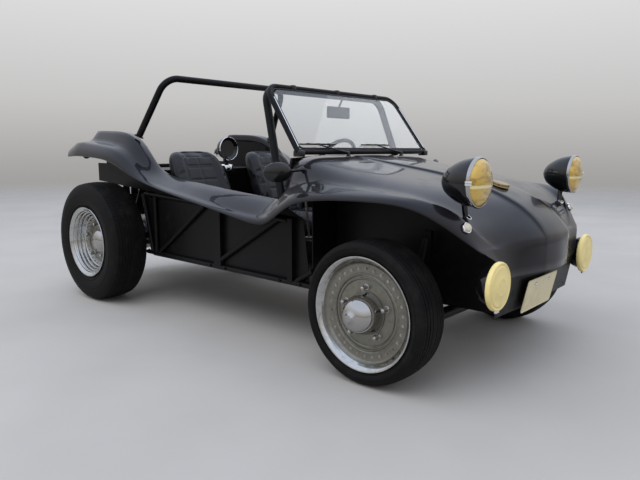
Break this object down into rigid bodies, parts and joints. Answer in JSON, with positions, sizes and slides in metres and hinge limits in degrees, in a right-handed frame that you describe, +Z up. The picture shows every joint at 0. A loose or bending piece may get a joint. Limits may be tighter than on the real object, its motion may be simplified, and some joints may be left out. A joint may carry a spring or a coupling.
{
  "type": "dune buggy",
  "caption": "Open two-seat dune buggy with a moulded tub, roll hoops, flat windscreen, round headlamps on stalks, wide rear tyres and an open rear engine.",
  "frame": {"origin": "on the ground below the middle of the vehicle's length and width", "axes": "+X forward, +Y to the left, +Z up"},
  "size_m": [3.107, 1.532, 1.3269],
  "materials": {
    "body_paint": "gloss",
    "black_paint": "satin",
    "clear_glass": "gloss",
    "black_plastic": "satin",
    "cast_parts": "matte",
    "cast_alloy": "cast",
    "steel": "satin",
    "chrome_trim": "polished",
    "polished_alloy": "polished",
    "seat_vinyl": "satin",
    "amber_glass": "gloss",
    "pale_plastic": "satin",
    "pale_lens": "gloss",
    "red_lens": "gloss",
    "plate_paint": "satin",
    "tyre": "matte"
  },
  "bodies": {
    "car": {"body_front": "body_paint", "body_side_left": "body_paint", "body_side_right": "body_paint", "body_deck": "black_paint", "floor_pan": "black_paint", "tub_panels": "black_paint", "inner_walls": "black_paint", "dash": "black_paint", "side_truss": "black_paint", "hoop_front": "black_paint", "hoop_rear": "black_paint", "windscreen_frame": "black_paint", "windscreen_glass": "clear_glass", "wipers": "black_plastic", "front_axle": "black_paint", "rear_axle": "black_paint", "transaxle": "cast_alloy", "engine": "cast_alloy", "fan_shroud": "black_paint", "exhaust": "steel", "air_cleaners": "chrome_trim", "seat_right": "seat_vinyl", "seat_left": "seat_vinyl", "seat_rails": "black_paint", "steering_column": "black_paint", "controls": "steel", "headlamp_buckets": "black_paint", "headlamp_rims": "chrome_trim", "headlamp_lenses": "amber_glass", "driving_lamps": "black_paint", "driving_lamp_covers": "pale_plastic", "turn_signals": "pale_lens", "tail_lamps": "red_lens", "licence_plate": "plate_paint", "mirrors": "black_plastic", "screen_mirror": "black_plastic", "fuel_cap": "chrome_trim", "round_pod": "black_plastic"},
    "knuckle_right": {"knuckle_right": "cast_parts"},
    "knuckle_left": {"knuckle_left": "cast_parts"},
    "steering_wheel": {"steering_wheel": "black_plastic"},
    "wheel_front_right": {"tyre_front_right": "tyre", "rim_front_right": "polished_alloy", "drum_front_right": "cast_parts"},
    "wheel_front_left": {"tyre_front_left": "tyre", "rim_front_left": "polished_alloy", "drum_front_left": "cast_parts"},
    "wheel_rear_right": {"tyre_rear_right": "tyre", "rim_rear_right": "polished_alloy", "drum_rear_right": "cast_parts"},
    "wheel_rear_left": {"tyre_rear_left": "tyre", "rim_rear_left": "polished_alloy", "drum_rear_left": "cast_parts"}
  },
  "joints": [
    {"name": "steer_right", "type": "hinge", "parent": "car", "child": "knuckle_right", "pos_m": [1.0465, -0.46, 0.286], "axis": [0, 0, 1], "range_deg": [-28, 28]},
    {"name": "steer_left", "type": "hinge", "parent": "car", "child": "knuckle_left", "pos_m": [1.0465, 0.46, 0.286], "axis": [0, 0, 1], "range_deg": [-28, 28]},
    {"name": "steering_wheel_turn", "type": "hinge", "parent": "car", "child": "steering_wheel", "pos_m": [0.0615, 0.312, 0.812], "axis": [-0.8829, 0, 0.4695], "range_deg": [-364, 364]},
    {"name": "spin_front_right", "type": "hinge", "parent": "knuckle_right", "child": "wheel_front_right", "pos_m": [1.0465, -0.6, 0.286], "axis": [0, 1, 0], "continuous": true},
    {"name": "spin_front_left", "type": "hinge", "parent": "knuckle_left", "child": "wheel_front_left", "pos_m": [1.0465, 0.6, 0.286], "axis": [0, 1, 0], "continuous": true},
    {"name": "spin_rear_right", "type": "hinge", "parent": "car", "child": "wheel_rear_right", "pos_m": [-0.9855, -0.65, 0.357], "axis": [0, 1, 0], "continuous": true},
    {"name": "spin_rear_left", "type": "hinge", "parent": "car", "child": "wheel_rear_left", "pos_m": [-0.9855, 0.65, 0.357], "axis": [0, 1, 0], "continuous": true}
  ],
  "couplings": [
    {"joint": "steer_left", "follows": "steer_right", "ratio": 1},
    {"joint": "steering_wheel_turn", "follows": "steer_right", "ratio": 13}
  ]
}
